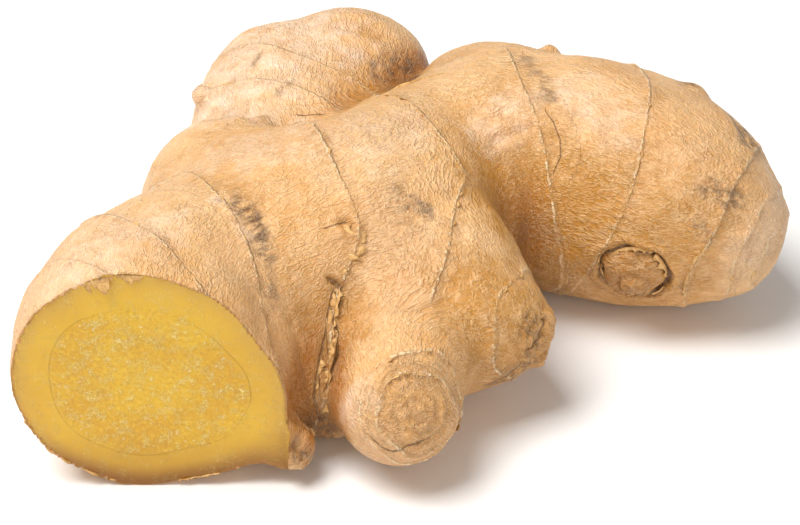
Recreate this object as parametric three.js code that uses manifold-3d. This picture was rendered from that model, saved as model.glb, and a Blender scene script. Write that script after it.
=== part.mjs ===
// Ginger root: thick knobbly fingers with leaf-scar rings, sliced flat at its front left end.
// It grew as one piece, so it is one solid. Millimetres, X to the right, Y to the back, Z up.
import * as THREE from 'three';
import { mergeVertices } from 'three/addons/utils/BufferGeometryUtils.js';
import Module from 'manifold-3d';

const wasm = await Module();
wasm.setup();

// A lobe is a string of balls [x, y, z, radius] with a smooth curve run through them.
const lobes = {
  cutFinger: [
    [-14, -1, 19, 18], [-25, -8, 18.8, 18.3], [-34.7, -18, 18.7, 19.2], [-37.6, -26, 18.9, 19.4],
    [-37.5, -36, 18.9, 17.5],
  ],
  cutFlank: [[-24, -16, 14, 13], [-28.5, -27, 14, 12.3], [-29.2, -36, 16.3, 11.6]],
  body: [
    [-22, 3, 19, 17], [-12, 1, 20, 19.4], [-3, 8, 20.3, 18.4], [3, 18.5, 20.5, 15.8],
    [9, 25, 20.5, 14.5],
  ],
  bodyFoot: [[-9, -8, 12, 11], [-11, -20, 8.5, 7.5]],
  shoulder: [[-18, 6, 18, 14], [-27.3, 13.8, 20, 13.9]],
  rightFinger: [
    [9, 25, 20, 14.5], [22, 27, 19.1, 18.5], [35, 23, 18.2, 19.3], [43.5, 18, 18, 16.8],
    [49, 14, 16.5, 12.8],
  ],
  backFinger: [[-14, 16, 15.5, 11.5], [-20.5, 34, 19.6, 13.7], [-20, 46, 20.5, 13.5]],
  backFingerEnd: [[-16, 30, 16.5, 15], [-8.5, 50, 20.5, 14.2]],
  backFingerBelly: [[-15, 32, 13.5, 13], [-13, 44, 12.4, 13]],
  backKnuckle: [[13, 24, 20, 14], [14.5, 36.5, 22.5, 13]],
  tip: [
    [-3, -5, 16, 16], [4, -8, 15, 14.3], [11.5, -12, 14.5, 9.8], [18, -14, 15, 5.2],
    [20.6, -14.3, 15.8, 2.2],
  ],
  tipCrest: [[-4, 3, 23, 14], [6.5, -4, 22, 10.3], [13.5, -11, 17.2, 7]],
  knob: [[0, -12, 15, 11.5], [0, -23, 13.2, 9.9], [-0.2, -30, 12.3, 8.8]],
  stub: [[-26, -30, 11.5, 6], [-20.5, -31, 9, 4.3], [-16.6, -31.5, 6, 3.3]],
};
const ballsPerSpan = 5;

// How softly the lobes run into each other, and the slow swells of the skin.
const blendWidth = 1.5;
const swellHeight = 0.35;

// The slice through the cut finger.
const sliceY = -33.2;
const sliceRightX = -16.5;

// Leaf-scar rings: a raised line that wanders a little off its plane, and may bow out at one angle.
const ringHeight = 0.7;
const ringHalfWidth = 1;
const ringWander = 0.6;
const bowAngle = THREE.MathUtils.degToRad(-45);
const bowWidth = THREE.MathUtils.degToRad(22);

// Past its own lobes a limb's skin dives under its neighbour's and soon stops.
const diveDepth = 1.5;
const reachPastOwnLobes = 3;

const rowSpacing = 3.5;
const footprintCentre = new THREE.Vector2(2.7, 12.5);

const plain = (at, facing) => ({
  at: new THREE.Vector3(...at),
  facing: new THREE.Vector3(...facing).normalize(),
  ring: false,
  bow: 0,
});
const ring = (at, facing, bow = 0) => ({ ...plain(at, facing), ring: true, bow });

// A limb is one skin drawn round some lobes. Its stops are planes across it, from root to end.
const limbs = [
  {
    members: ['cutFinger', 'cutFlank', 'body', 'bodyFoot', 'shoulder', 'rightFinger'],
    around: 44,
    rootDome: [25, 50, 72],
    endDome: [30, 60],
    stops: [
      ring([-38, -36.9, 19], [0.73, 0.68, 0]),
      ring([-36.3, -23.2, 18.8], [0.77, 0.63, 0]),
      ring([-30, -12, 19.3], [0.86, 0.48, -0.19]),
      ring([-17.6, -3.2, 19.4], [0.88, 0.31, -0.33], 2.5),
      plain([-8, 3.5, 20], [0.84, 0.48, -0.12]),
      ring([0.8, 16.2, 20.5], [0.84, 0.54, 0]),
      plain([9.5, 24.5, 20.3], [0.92, 0.42, 0]),
      ring([19.9, 27.3, 19.6], [0.97, 0.23, 0.07]),
      ring([31.7, 24.7, 19], [0.92, 0.03, -0.38]),
      plain([43, 18.3, 18], [0.9, -0.2, -0.25]),
      ring([51.8, 12.5, 17.5], [0.88, -0.42, -0.24]),
      ring([56.4, 10.5, 16.8], [0.87, -0.39, -0.29]),
      ring([59.2, 9.4, 16], [0.87, -0.39, -0.29]),
    ],
  },
  {
    members: ['tip', 'tipCrest'],
    around: 30,
    rootDome: [45],
    endDome: [35, 65],
    stops: [
      plain([-2, -3, 18], [0.9, -0.4, 0]),
      ring([7.5, -8, 17.5], [0.97, -0.23, -0.02]),
      ring([17.6, -14, 15], [0.91, -0.4, 0.11]),
    ],
  },
  {
    members: ['knob'],
    around: 30,
    rootDome: [45],
    endDome: [35, 65],
    stops: [
      plain([0, -10, 15], [0, -1, -0.12]),
      plain([0, -22, 13.4], [0.1, -0.97, 0.1]),
      ring([1.4, -33.1, 13.9], [0.42, -0.8, 0.42]),
      ring([2.4, -35.2, 14.7], [0.42, -0.82, 0.38]),
    ],
  },
  {
    members: ['backFinger', 'backFingerEnd', 'backFingerBelly'],
    around: 36,
    rootDome: [45],
    endDome: [25, 48, 70],
    stops: [
      plain([-14, 16, 15.5], [0.1, 1, 0]),
      ring([-15.2, 27.7, 18], [0.37, 0.93, 0]),
      ring([-14, 37, 18], [0.4, 0.92, 0]),
      plain([-14, 46, 18], [0.25, 0.96, 0.1]),
    ],
  },
  {
    members: ['backKnuckle'],
    around: 24,
    rootDome: [45],
    endDome: [25, 50, 72],
    stops: [plain([13, 22, 20], [0.1, 0.98, 0.1]), plain([14.5, 36.5, 22.5], [0.15, 0.95, 0.25])],
  },
  {
    members: ['stub'],
    around: 12,
    rootDome: [45],
    endDome: [40],
    stops: [
      plain([-25, -30.2, 11], [0.85, -0.2, -0.45]),
      plain([-20.5, -31, 9], [0.85, -0.15, -0.5]),
      ring([-17.4, -31.4, 6.6], [0.8, -0.12, -0.58]),
    ],
  },
];

// The bud scar low on the right finger's front: a rim, a groove and a button.
const budScar = { from: [35.5, 22.5, 18.6], facing: [0.1, -0.96, -0.25], radius: 5.6, line: 0.8 };
const budButton = { radius: 4.2, height: 1.3 };
const drapeStart = 9;

// Small dried shoots: where each stands, which way it points, its radius and its height.
const shoots = [
  { at: [-36.8, 13, 26.5], facing: [-0.8, 0, 0.6], radius: 2.2, height: 2.6 },
  { at: [-31.4, 35.5, 27.4], facing: [-0.85, 0, 0.5], radius: 2.3, height: 2.8 },
  { at: [24.5, 38, 32.5], facing: [0.1, 0.7, 0.7], radius: 2.3, height: 3.2 },
  { at: [46.5, 27.5, 30.8], facing: [0.4, 0.55, 0.75], radius: 3.4, height: 3.4 },
  { at: [20, -15.8, 11.8], facing: [0.75, -0.4, -0.5], radius: 2, height: 2.6 },
  { at: [21.3, -13.8, 16.8], facing: [0.9, -0.2, 0.35], radius: 1.6, height: 2.2 },
];

const skin = new THREE.MeshStandardMaterial({ color: 0xd8b27e, roughness: 0.7, metalness: 0 });

// The balls of one lobe, as vectors whose w is the radius.
function ballsOf(points) {
  const count = (points.length - 1) * ballsPerSpan;
  const centres = points.map(([x, y, z]) => new THREE.Vector3(x, y, z));
  const radii = points.map(([, , , radius]) => new THREE.Vector3(radius, 0, 0));
  const path = new THREE.CatmullRomCurve3(centres, false, 'catmullrom', 0.5).getPoints(count);
  const sizes = new THREE.CatmullRomCurve3(radii, false, 'catmullrom', 0.5).getPoints(count);
  return path.map((centre, index) => new THREE.Vector4(...centre, sizes[index].x));
}

const strings = Object.values(lobes).map(ballsOf);
const limbOfLobe = Object.keys(lobes).map((name) => (
  limbs.findIndex((limb) => limb.members.includes(name))
));

// How far a point lies outside a string of balls; negative inside it.
function distanceToString(balls, point) {
  let nearest = Infinity;
  for (let index = 0; index + 1 < balls.length; index += 1) {
    const a = balls[index];
    const b = balls[index + 1];
    const run = [b.x - a.x, b.y - a.y, b.z - a.z];
    const away = [point.x - a.x, point.y - a.y, point.z - a.z];
    const dot = run[0] * away[0] + run[1] * away[1] + run[2] * away[2];
    const share = THREE.MathUtils.clamp(dot / (run[0] ** 2 + run[1] ** 2 + run[2] ** 2), 0, 1);
    const gap = Math.hypot(
      away[0] - share * run[0],
      away[1] - share * run[1],
      away[2] - share * run[2],
    );
    nearest = Math.min(nearest, gap - a.w - share * (b.w - a.w));
  }
  return nearest;
}

function swell(point) {
  return swellHeight * Math.sin(point.x * 0.31 + 1.3) * Math.sin(point.y * 0.27 + 0.4)
    * Math.sin(point.z * 0.33 + 2);
}

// How far a point lies outside the skin of one limb; negative inside it.
function distanceToSkin(limbIndex, point) {
  const distances = strings.map((balls) => distanceToString(balls, point));
  const nearest = Math.min(...distances);
  const pulls = distances.map((distance) => Math.exp((nearest - distance) / blendWidth));
  const total = pulls.reduce((sum, pull) => sum + pull, 0);
  const shares = limbs.map(() => 0);
  pulls.forEach((pull, index) => { shares[limbOfLobe[index]] += pull / total; });
  const blended = nearest - blendWidth * Math.log(total) + swell(point);
  const lost = Math.max(...shares) - shares[limbIndex];
  const own = Math.min(...distances.filter((_, index) => limbOfLobe[index] === limbIndex));
  return Math.max(blended + diveDepth * Math.min(2 * lost, 1), own - reachPastOwnLobes);
}

// Walks from a point inside a limb out to its skin.
function skinPoint(limbIndex, from, direction, lift) {
  const point = from.clone();
  for (let step = 0; step < 400; step += 1) {
    const gap = distanceToSkin(limbIndex, point);
    if (gap > -0.01) break;
    point.addScaledVector(direction, Math.max(-0.7 * gap, 0.02));
  }
  return point.addScaledVector(direction, lift);
}

function rowsAtStop({ at, facing, bow, ring: isRing }) {
  if (!isRing) return [{ at, facing, bow, latitude: 0, lift: 0, wander: 0 }];
  return [-1, 0, 1].map((side) => ({
    at: at.clone().addScaledVector(facing, side * ringHalfWidth),
    facing,
    bow,
    latitude: 0,
    lift: side === 0 ? ringHeight : 0,
    wander: ringWander,
  }));
}

function rowsBetween(stop, next) {
  const gap = stop.at.distanceTo(next.at) - (stop.ring + next.ring) * ringHalfWidth;
  const count = Math.max(Math.round(gap / rowSpacing) - 1, 0);
  return Array.from({ length: count }, (_, index) => {
    const share = (index + 1) / (count + 1);
    return {
      at: stop.at.clone().lerp(next.at, share),
      facing: stop.facing.clone().lerp(next.facing, share).normalize(),
      bow: THREE.MathUtils.lerp(stop.bow, next.bow, share),
      latitude: 0,
      lift: 0,
      wander: 0,
    };
  });
}

// The rows of a limb from pole to pole; domes are rows of rays that lean off the last plane.
function rowsOfLimb(limb) {
  const across = limb.stops.flatMap((stop, index) => [
    ...rowsAtStop(stop),
    ...(index + 1 < limb.stops.length ? rowsBetween(stop, limb.stops[index + 1]) : []),
  ]);
  const lean = (row, degrees) => ({
    ...row,
    latitude: THREE.MathUtils.degToRad(degrees),
    lift: 0,
    wander: 0,
    bow: 0,
  });
  const first = across[0];
  const last = across[across.length - 1];
  return [
    lean(first, -90),
    ...[...limb.rootDome].reverse().map((degrees) => lean(first, -degrees)),
    ...across,
    ...limb.endDome.map((degrees) => lean(last, degrees)),
    lean(last, 90),
  ];
}

function wanderAt(row, angle) {
  const start = row.at.x * 0.7 + row.at.y * 0.4;
  const turn = Math.atan2(Math.sin(angle - bowAngle), Math.cos(angle - bowAngle));
  return row.wander * (0.6 * Math.sin(2 * angle + start) + 0.4 * Math.sin(5 * angle + 2 * start))
    + row.bow * Math.exp(-((turn / bowWidth) ** 2));
}

function rowPoint(limbIndex, row, angle) {
  const upright = new THREE.Vector3(0, 0, 1).projectOnPlane(row.facing).normalize();
  const sideways = new THREE.Vector3().crossVectors(upright, row.facing);
  const direction = upright.multiplyScalar(Math.cos(angle)).addScaledVector(sideways, Math.sin(angle));
  direction.multiplyScalar(Math.cos(row.latitude));
  direction.addScaledVector(row.facing, Math.sin(row.latitude));
  const from = row.at.clone().addScaledVector(row.facing, wanderAt(row, angle));
  return skinPoint(limbIndex, from, direction.normalize(), row.lift);
}

// One limb's closed skin: a sphere's net of rows and columns pulled out to the skin.
function limbGeometry(limb, limbIndex) {
  const rows = rowsOfLimb(limb);
  const geometry = new THREE.SphereGeometry(1, limb.around, rows.length - 1);
  const { position } = geometry.attributes;
  rows.forEach((row, rowIndex) => {
    const isPole = rowIndex === 0 || rowIndex === rows.length - 1;
    const points = Array.from({ length: isPole ? 1 : limb.around }, (_, column) => (
      rowPoint(limbIndex, row, (2 * Math.PI * column) / limb.around)
    ));
    for (let column = 0; column <= limb.around; column += 1) {
      const point = points[column % points.length];
      position.setXYZ(rowIndex * (limb.around + 1) + column, point.x, point.y, point.z);
    }
  });
  return geometry;
}

// Turns a geometry into a solid that can be joined and cut.
function solidOf(geometry) {
  geometry.deleteAttribute('normal');
  geometry.deleteAttribute('uv');
  const merged = mergeVertices(geometry, 1e-4);
  return new wasm.Manifold(new wasm.Mesh({
    numProp: 3,
    vertProperties: new Float32Array(merged.attributes.position.array),
    triVerts: new Uint32Array(merged.index.array),
  }));
}

// Moves a geometry whose axis is Z to a point, with that axis turned to a facing.
function placed(geometry, at, facing) {
  const turn = new THREE.Quaternion().setFromUnitVectors(new THREE.Vector3(0, 0, 1), facing);
  return geometry.applyQuaternion(turn).translate(at.x, at.y, at.z);
}

// Lays a geometry whose axis is Z over the first limb's skin, each of its points where it falls.
function draped(geometry, at, facing) {
  const { position } = geometry.attributes;
  const heights = Array.from({ length: position.count }, (_, index) => position.getZ(index));
  heights.forEach((_, index) => position.setZ(index, -drapeStart));
  placed(geometry, at, facing);
  heights.forEach((height, index) => {
    const from = new THREE.Vector3().fromBufferAttribute(position, index);
    const point = skinPoint(0, from, facing, height);
    position.setXYZ(index, point.x, point.y, point.z);
  });
  return geometry;
}

function withBudScar(root) {
  const facing = new THREE.Vector3(...budScar.facing).normalize();
  const centre = skinPoint(0, new THREE.Vector3(...budScar.from), facing, 0);
  const { radius, line } = budScar;
  const rim = new THREE.TorusGeometry(radius + 1.2 * line, line, 8, 30);
  const groove = new THREE.TorusGeometry(radius - 0.2 * line, line, 8, 30);
  const button = new THREE.SphereGeometry(1, 20, 12).rotateX(Math.PI / 2);
  button.scale(budButton.radius, budButton.radius, budButton.height);
  return root
    .add(solidOf(draped(rim, centre, facing)))
    .subtract(solidOf(draped(groove, centre, facing)))
    .add(solidOf(draped(button, centre, facing)));
}

function shootSolid({ at, facing, radius, height }) {
  const shoot = new THREE.SphereGeometry(1, 10, 8).rotateX(Math.PI / 2);
  shoot.scale(radius, radius, height);
  return solidOf(placed(shoot, new THREE.Vector3(...at), new THREE.Vector3(...facing).normalize()));
}

// A box that covers everything on the far side of a plane, to cut with.
function cutterBox(corner, size) {
  const box = new THREE.BoxGeometry(...size);
  box.translate(corner[0] + size[0] / 2, corner[1] + size[1] / 2, corner[2] + size[2] / 2);
  return solidOf(box);
}

function gingerRoot() {
  let root = limbs
    .map((limb, index) => solidOf(limbGeometry(limb, index)))
    .reduce((joined, limb) => joined.add(limb));
  root = withBudScar(root);
  shoots.forEach((shoot) => { root = root.add(shootSolid(shoot)); });
  root = root.subtract(cutterBox([sliceRightX - 100, sliceY - 60, -30], [100, 60, 100]));
  root = root.subtract(cutterBox([-100, -100, -40], [200, 200, 40]));
  const { vertProperties, triVerts } = root.getMesh();
  const geometry = new THREE.BufferGeometry();
  geometry.setAttribute('position', new THREE.BufferAttribute(vertProperties, 3));
  geometry.setIndex(new THREE.BufferAttribute(triVerts, 1));
  geometry.translate(-footprintCentre.x, -footprintCentre.y, 0);
  geometry.computeVertexNormals();
  return geometry;
}

const part = new THREE.Group();
const root = new THREE.Mesh(gingerRoot(), skin);
root.name = 'ginger_root';
part.add(root);

export default part;
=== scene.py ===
"""A ginger root on a pale table: its wrinkled ringed skin, the sliced flesh and its papery scales.

The root is one blended form. Its lobes and rings are in millimetres in the root's own frame, and
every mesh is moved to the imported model's frame, in metres, as it is made.
"""
import math

import bpy
import numpy as np
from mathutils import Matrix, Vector, noise


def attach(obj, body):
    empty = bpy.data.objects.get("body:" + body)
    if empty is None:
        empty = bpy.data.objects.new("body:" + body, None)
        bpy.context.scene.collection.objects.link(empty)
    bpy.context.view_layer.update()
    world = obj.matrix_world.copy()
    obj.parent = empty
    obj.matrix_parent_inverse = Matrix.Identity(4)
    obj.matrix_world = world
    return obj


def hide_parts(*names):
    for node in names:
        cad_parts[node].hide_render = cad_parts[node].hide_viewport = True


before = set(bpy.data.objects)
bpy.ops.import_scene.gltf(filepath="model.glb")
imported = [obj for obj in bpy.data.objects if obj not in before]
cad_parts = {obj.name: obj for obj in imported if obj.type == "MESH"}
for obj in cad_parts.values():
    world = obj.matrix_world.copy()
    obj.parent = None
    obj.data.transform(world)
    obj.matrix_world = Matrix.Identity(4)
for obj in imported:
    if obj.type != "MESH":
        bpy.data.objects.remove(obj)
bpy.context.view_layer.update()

MM = 0.001

# From the root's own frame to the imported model's, in millimetres.
FRAME_SHIFT = np.array([-2.7, -12.5, 0.0])

# A lobe is a string of balls (x, y, z, radius) with a smooth curve run through them.
LOBES = {
    "cut_finger": [(-14, -1, 19, 18), (-25, -8, 18.8, 18.3), (-34.7, -18, 18.7, 19.2),
                   (-37.6, -26, 18.9, 19.4), (-37.5, -36, 18.9, 17.5)],
    "cut_flank": [(-24, -16, 14, 13), (-28.5, -27, 14, 12.3), (-29.2, -36, 16.3, 11.6)],
    "body": [(-22, 3, 19, 17), (-12, 1, 20, 19.4), (-3, 8, 20.3, 18.4), (3, 18.5, 20.5, 15.8),
             (9, 25, 20.5, 14.5)],
    "body_foot": [(-9, -8, 12, 11), (-11, -20, 8.5, 7.5)],
    "shoulder": [(-18, 6, 18, 14), (-27.3, 13.8, 20, 13.9)],
    "right_finger": [(9, 25, 20, 14.5), (22, 27, 19.1, 18.5), (35, 23, 18.2, 19.3),
                     (43.5, 18, 18, 16.8), (49, 14, 16.5, 12.8)],
    "back_finger": [(-14, 16, 15.5, 11.5), (-20.5, 34, 19.6, 13.7), (-20, 46, 20.5, 13.5)],
    "back_finger_end": [(-16, 30, 16.5, 15), (-8.5, 50, 20.5, 14.2)],
    "back_finger_belly": [(-15, 32, 13.5, 13), (-13, 44, 12.4, 13)],
    "back_knuckle": [(13, 24, 20, 14), (14.5, 36.5, 22.5, 13)],
    "tip": [(-3, -5, 16, 16), (4, -8, 15, 14.3), (11.5, -12, 14.5, 9.8), (18, -14, 15, 5.2),
            (20.6, -14.3, 15.8, 2.2)],
    "tip_crest": [(-4, 3, 23, 14), (6.5, -4, 22, 10.3), (13.5, -11, 17.2, 7)],
    "knob": [(0, -12, 15, 11.5), (0, -23, 13.2, 9.9), (-0.2, -30, 12.3, 8.8)],
    "stub": [(-26, -30, 11.5, 6), (-20.5, -31, 9, 4.3), (-16.6, -31.5, 6, 3.3)],
}
BALLS_PER_SPAN = 5
BLEND_WIDTH = 1.5
SWELL_HEIGHT = 0.35
SHOOT_BLEND = 0.8

# The slice takes away what is in front of SLICE_Y and left of SLICE_X.
SLICE_Y = -33.2
SLICE_X = -16.5

# A limb is a group of lobes with one spine. A stop on it is a point, a facing, the strength of the
# ring there and how far that ring bows out at BOW_ANGLE.
MAIN, TIP, KNOB, BACK, KNUCKLE, STUB = range(6)
LIMB_OF_LOBE = (MAIN, MAIN, MAIN, MAIN, MAIN, MAIN, BACK, BACK, BACK, KNUCKLE, TIP, TIP, KNOB, STUB)
STOPS = {
    MAIN: [((-38, -36.9, 19), (0.73, 0.68, 0), 0.6, 0), ((-36.3, -23.2, 18.8), (0.77, 0.63, 0), 0.9, 0),
           ((-30, -12, 19.3), (0.86, 0.48, -0.19), 1, 0),
           ((-17.6, -3.2, 19.4), (0.88, 0.31, -0.33), 1.2, 2.5),
           ((-8, 3.5, 20), (0.84, 0.48, -0.12), 0, 0), ((0.8, 16.2, 20.5), (0.84, 0.54, 0), 1, 0),
           ((9.5, 24.5, 20.3), (0.92, 0.42, 0), 0, 0), ((19.9, 27.3, 19.6), (0.97, 0.23, 0.07), 1, 0),
           ((31.7, 24.7, 19), (0.92, 0.03, -0.38), 0.9, 0), ((43, 18.3, 18), (0.9, -0.2, -0.25), 0, 0),
           ((51.8, 12.5, 17.5), (0.88, -0.42, -0.24), 1.1, 0),
           ((56.4, 10.5, 16.8), (0.87, -0.39, -0.29), 0.7, 0),
           ((59.2, 9.4, 16), (0.87, -0.39, -0.29), 0.7, 0)],
    TIP: [((-2, -3, 18), (0.9, -0.4, 0), 0, 0), ((7.5, -8, 17.5), (0.97, -0.23, -0.02), 1, 0),
          ((17.6, -14, 15), (0.91, -0.4, 0.11), 0.9, 0)],
    KNOB: [((0, -10, 15), (0, -1, -0.12), 0, 0), ((0, -22, 13.4), (0.1, -0.97, 0.1), 0, 0),
           ((1.4, -33.1, 13.9), (0.42, -0.8, 0.42), 0.9, 0),
           ((2.4, -35.2, 14.7), (0.42, -0.82, 0.38), 0.8, 0)],
    BACK: [((-14, 16, 15.5), (0.1, 1, 0), 0, 0), ((-15.2, 27.7, 18), (0.37, 0.93, 0), 0.8, 0),
           ((-14, 37, 18), (0.4, 0.92, 0), 0.8, 0), ((-14, 46, 18), (0.25, 0.96, 0.1), 0, 0)],
    KNUCKLE: [((13, 22, 20), (0.1, 0.98, 0.1), 0, 0), ((14.5, 36.5, 22.5), (0.15, 0.95, 0.25), 0, 0)],
    STUB: [((-25, -30.2, 11), (0.85, -0.2, -0.45), 0, 0), ((-20.5, -31, 9), (0.85, -0.15, -0.5), 0, 0),
           ((-15.6, -32.6, 6.7), (0.62, -0.7, 0.35), 0.6, 0)],
}
RING_WANDER = 0.6
BOW_ANGLE = math.radians(-45)
BOW_WIDTH = math.radians(22)
RING_RIDGE = 0.2
RING_RIDGE_WIDTH = 0.45
RING_LEDGE = 0.3
RING_REACH = 6.0
RING_RADIUS_LIMIT = 32
ALONG_SCALE = 0.36

# Small dried shoots: point, facing, radius and height.
SHOOTS = [
    ((-36.8, 13, 26.5), (-0.8, 0, 0.6), 2.2, 2.6),
    ((-31.4, 35.5, 27.4), (-0.85, 0, 0.5), 2.3, 2.8),
    ((24.5, 38, 32.5), (0.1, 0.7, 0.7), 2.3, 3.2),
    ((46.5, 27.5, 30.8), (0.4, 0.55, 0.75), 3.4, 3.4),
    ((20, -15.8, 11.8), (0.75, -0.4, -0.5), 2, 2.6),
    ((21.3, -13.8, 16.8), (0.9, -0.2, 0.35), 1.6, 2.2),
]

# The bud scar low on the right finger's front.
BUD_CENTRE = (36.6, 3.0, 14.0)
BUD_FACING = (0.1, -0.96, -0.25)
BUD_RADIUS = 5.6

# The two edges of the tear between the sliced finger and the knob.
TEAR_LEFT = [(-9.6, -18.6, 26.3), (-10.2, -20, 24), (-10.8, -21.5, 21.5), (-11.6, -23.5, 17.8),
             (-12.4, -26, 14.5), (-12.8, -27.5, 11.6)]
TEAR_RIGHT = [(-8.9, -19.7, 24.2), (-9.9, -21.1, 21.9), (-9.2, -22.6, 20), (-9.8, -24.4, 17.3),
              (-10.5, -25.8, 15.1), (-11, -27, 13.3)]

# Cracks are dark lines and dents are shallow troughs: points, width and depth.
CRACKS = [
    (TEAR_LEFT + [(-11.6, -28.4, 8.5)], 0.2, 0.45),
    (TEAR_RIGHT, 0.16, 0.35),
    ([(-4.1, -37.9, 11.9), (-2.9, -38.3, 10.8), (-0.9, -38.7, 10.4), (1.2, -38.8, 11.3),
      (3.6, -38, 11.8), (5.8, -36.4, 12.7)], 0.15, 0.35),
    ([(-16, 22.2, 31.4), (-12.5, 23, 31.2)], 0.2, 0.2),
    ([(23.1, 17, 35.6), (24.2, 14.8, 34.3), (25.1, 12.7, 32.6), (25.2, 10.9, 30.9),
      (24.1, 9.5, 28.7)], 0.09, 0.15),
    ([(14.5, -19.7, 9.2), (16.3, -19.8, 10.4), (18.4, -19.6, 12.1)], 0.16, 0.35),
    ([(21.8, -15.9, 18), (21.1, -18, 15.8), (19.5, -19.2, 14.4)], 0.15, 0.5),
    ([(53.4, 19.7, 31.5), (54.7, 17.3, 30.6), (55.6, 15, 29.8)], 0.16, 0.3),
    ([(-10.8, -14, 33.4), (-8.2, -13.2, 33.8)], 0.12, 0.2),
    ([(-10.2, -18.4, 27), (-9, -18.9, 25.6)], 0.4, 0.8),
]
DENTS = [
    ([(14, 16, 33.9), (17.4, 18, 35.2)], 0.8, 0.45),
    ([(15.2, 13.4, 32), (20.3, 14.9, 33.5)], 0.9, 0.6),
    ([(-10, 47.5, 34.6), (-3.7, 46.4, 33.4)], 1.6, 0.6),
    ([(-8.4, -13, 33.6), (-7.4, -13.6, 32.8)], 0.7, 0.7),
    ([(-28.5, 19.6, 31), (-22.4, 25.4, 30), (-15, 26, 30.3)], 1.8, 1.1),
    ([(-10.6, -27.2, 6), (-10.2, -26.4, 12), (-9.4, -24, 17)], 1.5, 0.8),
    ([(-15.2, -33.7, 7.8), (-14.4, -33.2, 6.4)], 1.1, 1.4),
]

# Concentric folds lie round a dried scar: centre, radius, height and spacing.
FOLDED_SCARS = [
    ((2.6, -36.8, 16.4), 6.8, 0.24, 1.9),
    ((21.4, -17.4, 15.6), 6, 0.28, 1.7),
    ((36.8, 3.0, 13.6), 4.6, 0.16, 1.3),
]

# Stains, tints and some painted light and shade are broad strokes on the skin: points, radius and strength.
DARK_STAINS_AND_SHADOW = [
    ([(-24.6, -12.8, 36.2), (-21.8, -15.5, 34.8), (-20.2, -19.3, 32.4)], 2.3, 1.0),
    ([(-19.6, -21.2, 30.8), (-18.6, -25, 27.5)], 1.4, 0.5),
    ([(1.8, -8.5, 34.1), (3.9, -8.6, 33.2)], 1.7, 0.85),
    ([(-0.3, -7.4, 35.4), (0.7, -13.1, 30.8)], 1.6, 0.45),
    ([(47.5, 5.6, 28.5), (52.4, 5.6, 25.6)], 2.0, 0.8), ([(53, 21.7, 31.4), (55.3, 15.4, 30)], 2.1, 0.85),
    ([(-2.5, 39.2, 30.5), (1.3, 43, 28.4)], 3.4, 0.85), ([(-24.4, 34.4, 33.4), (-22.4, 38.6, 34)], 0.8, 0.7),
    ([(-20, 27, 32.4), (-17.2, 30, 33)], 0.9, 0.6), ([(20.1, 32.3, 36.9), (23.7, 19.2, 36.5)], 1.6, 0.6),
    ([(0.4, -37.6, 15.6), (3.4, -36.8, 14.6)], 2.8, 0.2),
    ([(14.5, -19.7, 9.2), (19.4, -18.4, 12)], 2.6, 0.7),
    ([(19.5, -17.1, 19.4), (20.4, -18, 15)], 1.5, 0.6), ([(47.1, 27.9, 33), (45, 29, 33)], 2.4, 0.7),
    # The wide stroke at the foot of the tear, low by the stub, is painted shadow.
    ([(46.2, 2.3, 24), (47.4, 1.7, 21.8)], 1.4, 0.5), ([(-11.6, -27.4, 6), (-14, -28, 4)], 4.5, 0.9),
    ([(-15, -33.6, 7.4), (-14.2, -33, 6)], 1.9, 0.9), ([(15.4, -20, 8.6), (19, -19.6, 11)], 1.6, 0.7),
]
OCHRE_STAINS = [
    ([(-25.6, -8, 36.6), (-22.2, -11.7, 36.3)], 2.9, 0.8),
    ([(-11.7, 48.3, 34.6), (-3.7, 46.4, 33.4)], 2.6, 0.9),
    ([(-6.6, 40.4, 32.7), (-2.5, 39.2, 30.1)], 4, 0.6),
    ([(40.6, 20, 36.5), (38, 7, 30.6), (35.5, 3.4, 23.3)], 2.2, 0.75),
    ([(-8, -12.3, 34.4), (-6.4, -15.8, 30.1), (-8.6, -18.3, 26.5)], 1.8, 0.9),
    ([(-10, -20, 24), (-11.4, -24, 18), (-12, -27, 12)], 1.6, 1.0),
    ([(-15.4, -33, 8), (-14, -32, 5)], 3.4, 0.9),
    ([(16, 22, 37), (21, 28, 38)], 3.5, 0.6), ([(33, 4, 10), (40.5, 3.2, 12)], 6.5, 0.6),
    ([(60.8, 11.8, 21.2), (59.5, 7, 15.8)], 3, 0.7), ([(-9.8, -15, 31.6), (-9.4, -20, 24)], 2.4, 0.5),
    ([(17, -16, 12), (20, -16, 14)], 5.5, 0.6), ([(-8.4, -13.2, 33.4), (-7.2, -16.5, 29.4)], 1.4, 0.9),
    ([(-50, -20, 31), (-54, -24, 24)], 4, 0.4), ([(0, -36, 18), (4.4, -36, 16)], 6, 0.8),
]
# Golden skin, partly painted shade: most of these lie on the low and shaded sides.
GOLD_AND_SHADE_AREAS = [
    ([(15.6, 3.9, 24.3), (20, 8, 15)], 14, 1.0), ([(25, 6, 24), (34, 4, 14)], 14, 1.0),
    ([(13, -16, 20), (18, -17, 13)], 10, 0.9), ([(-6, 34, 28), (4, 32, 26)], 9, 0.8),
    ([(14, 6, 32), (17, 13, 32)], 6, 0.5), ([(-10, -22, 22), (-12, -27, 8)], 7, 0.8),
    ([(42, 4, 20), (36, 2, 8)], 12, 0.9), ([(-54, -20, 10), (-50, -10, 6)], 10, 0.9),
]
# Pale patches, partly painted light: the wide ones lie on the lit tops.
PALE_STAINS_AND_LIGHT = [
    ([(-27.2, -12.6, 36.4), (-22.8, -18.2, 34)], 1.7, 1.0), ([(-46, -29, 36), (-38, -22, 38)], 8, 0.6),
    ([(-22, 2, 36), (-6, 2, 39.6)], 9, 0.4), ([(14, 14, 34), (18, 18, 35)], 5, 0.6),
    ([(28, 20, 37.6), (33, 14, 36)], 6, 0.6), ([(54, 4, 18), (59, 10, 22)], 5, 0.6),
    ([(-28, 30, 30), (-18, 44, 34)], 14, 0.9), ([(-5.8, -34, 17), (-7, -33, 14)], 3.5, 0.6),
    ([(0.8, 10.6, 38.3), (2, 6, 38)], 4, 0.5),
]
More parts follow.
